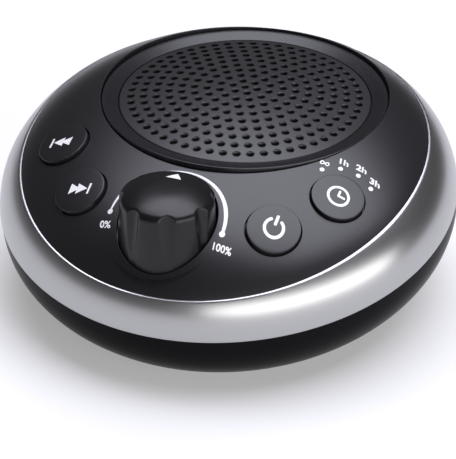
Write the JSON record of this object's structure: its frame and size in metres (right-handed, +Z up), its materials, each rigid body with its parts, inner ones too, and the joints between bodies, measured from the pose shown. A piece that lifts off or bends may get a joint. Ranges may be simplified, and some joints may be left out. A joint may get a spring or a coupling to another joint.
{
  "type": "white noise sound machine",
  "caption": "Round leaning tabletop sound machine with a domed perforated speaker grille, a fluted volume knob, round push buttons and timer lamps.",
  "frame": {"origin": "on the floor under the centre of the body's widest circle", "axes": "+Z up, -Y the front with the volume knob, +X the side with the power and timer buttons"},
  "size_m": [0.1298, 0.1287, 0.0544],
  "materials": {
    "cover_black": "satin gloss black",
    "bezel_black": "satin black",
    "grille_black": "satin black paint",
    "band_silver": "satin silver",
    "base_black": "gloss black",
    "screen_cloth": "woven black",
    "knob_black": "gloss black",
    "button_black": "satin black",
    "switch_plastic": "matte",
    "board_green": "solder mask",
    "component_plastic": "moulded",
    "lamp_white": "clear white",
    "steel": "plated",
    "ferrite": "ferrite",
    "foam": "foam",
    "paper": "pulp",
    "surround_rubber": "matte rubber",
    "copper": "enamelled wire",
    "lead_red": "insulation",
    "lead_black": "insulation",
    "foot_rubber": "matte rubber"
  },
  "bodies": {
    "housing": {"base_shell": "base_black", "trim_band": "band_silver", "top_cover": "cover_black", "grille_bezel": "bezel_black", "speaker_grille": "grille_black", "dust_screen": "screen_cloth", "pot_body": "steel", "pot_nut": "steel", "control_board": "board_green", "tact_switches": "switch_plastic", "left_button_board": "board_green", "right_button_board": "board_green", "button_board_screws": "steel", "timer_leds": "component_plastic", "lamp_pipes": "lamp_white", "speaker_basket": "steel", "speaker_yoke": "steel", "speaker_magnet": "ferrite", "speaker_top_plate": "steel", "speaker_gasket": "foam", "speaker_screws": "steel", "speaker_surround": "surround_rubber", "speaker_spider": "paper", "main_board": "board_green", "amplifier_parts": "component_plastic", "main_board_screws": "steel", "power_socket": "switch_plastic", "speaker_leads": "lead_red", "socket_leads": "lead_black", "rubber_feet": "foot_rubber", "base_screws": "steel"},
    "knob": {"volume_knob": "knob_black", "pot_shaft": "steel"},
    "previous": {"previous_button": "button_black", "previous_plunger": "switch_plastic"},
    "next": {"next_button": "button_black", "next_plunger": "switch_plastic"},
    "power": {"power_button": "button_black", "power_plunger": "switch_plastic"},
    "timer": {"timer_button": "button_black", "timer_plunger": "switch_plastic"},
    "cone": {"speaker_cone": "paper", "speaker_dust_cap": "paper", "voice_coil": "copper"}
  },
  "joints": [
    {"name": "volume_turn", "type": "hinge", "parent": "housing", "child": "knob", "pos_m": [-0.0004, -0.045, 0.04], "axis": [0, 0, -1], "range_deg": [-92.5, 92.5]},
    {"name": "previous_press", "type": "slide", "parent": "housing", "child": "previous", "axis": [0.2709, 0.3687, -0.8892], "range_m": [0, 0.0006], "stiffness_N_per_m": 1200, "springref_m": -0.0005},
    {"name": "next_press", "type": "slide", "parent": "housing", "child": "next", "axis": [0.2709, 0.3687, -0.8892], "range_m": [0, 0.0006], "stiffness_N_per_m": 1200, "springref_m": -0.0005},
    {"name": "power_press", "type": "slide", "parent": "housing", "child": "power", "axis": [-0.2709, 0.3687, -0.8892], "range_m": [0, 0.0006], "stiffness_N_per_m": 1200, "springref_m": -0.0005},
    {"name": "timer_press", "type": "slide", "parent": "housing", "child": "timer", "axis": [-0.2709, 0.3687, -0.8892], "range_m": [0, 0.0006], "stiffness_N_per_m": 1200, "springref_m": -0.0005},
    {"name": "cone_travel", "type": "slide", "parent": "housing", "child": "cone", "axis": [0, 0, 1], "range_m": [-0.001, 0.001], "stiffness_N_per_m": 900, "deforming": ["speaker_surround", "speaker_spider"]}
  ]
}
